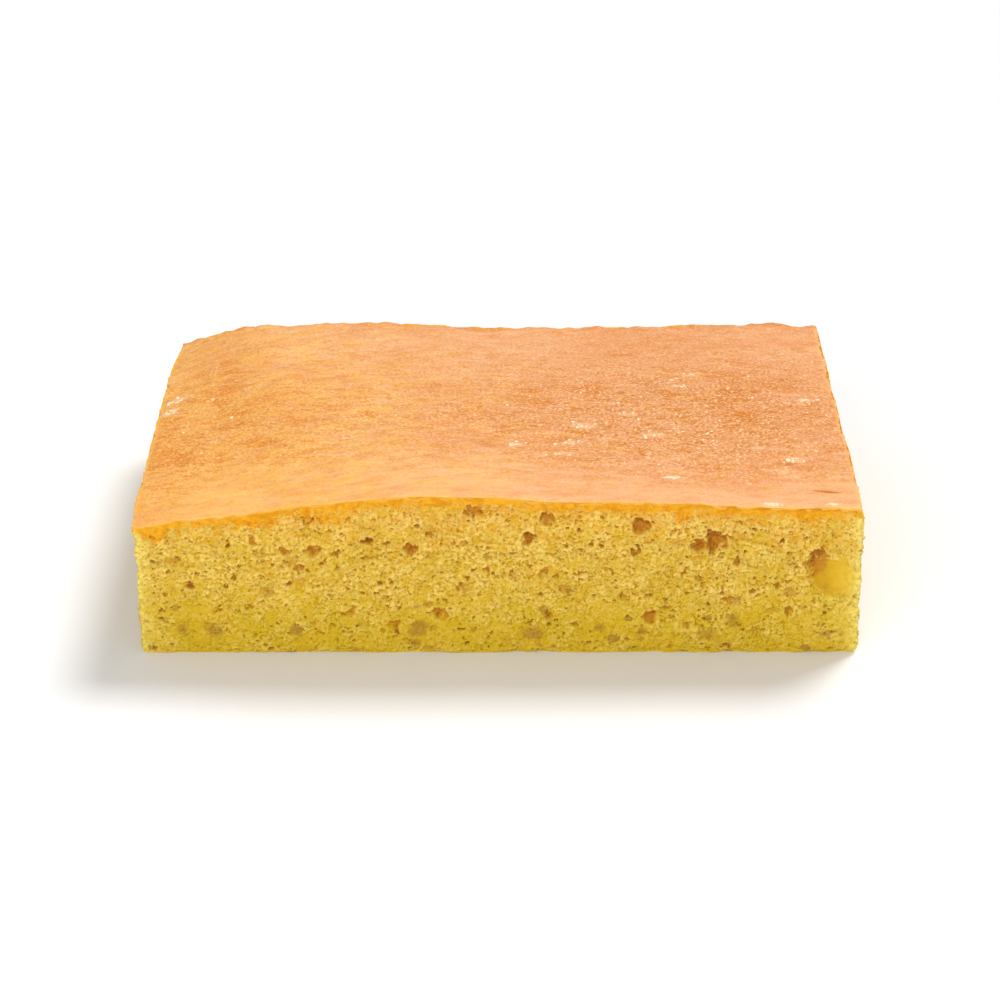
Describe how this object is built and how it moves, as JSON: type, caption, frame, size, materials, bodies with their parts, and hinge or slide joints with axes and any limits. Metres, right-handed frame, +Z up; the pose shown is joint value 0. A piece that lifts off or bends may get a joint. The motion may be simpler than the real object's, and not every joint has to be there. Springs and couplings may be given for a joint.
{
  "type": "cornbread slab",
  "caption": "Thick rectangular slab of cornbread with a smooth golden crust and open yellow crumb on its cut sides.",
  "frame": {"origin": "middle of the flat underside", "axes": "+X along the long side, -Y out of the front cut, +Z up"},
  "size_m": [0.192, 0.13, 0.047],
  "materials": {
    "crumb": "matte",
    "crust": "satin"
  },
  "bodies": {
    "root": {"cornbread": "crumb"}
  },
  "joints": []
}
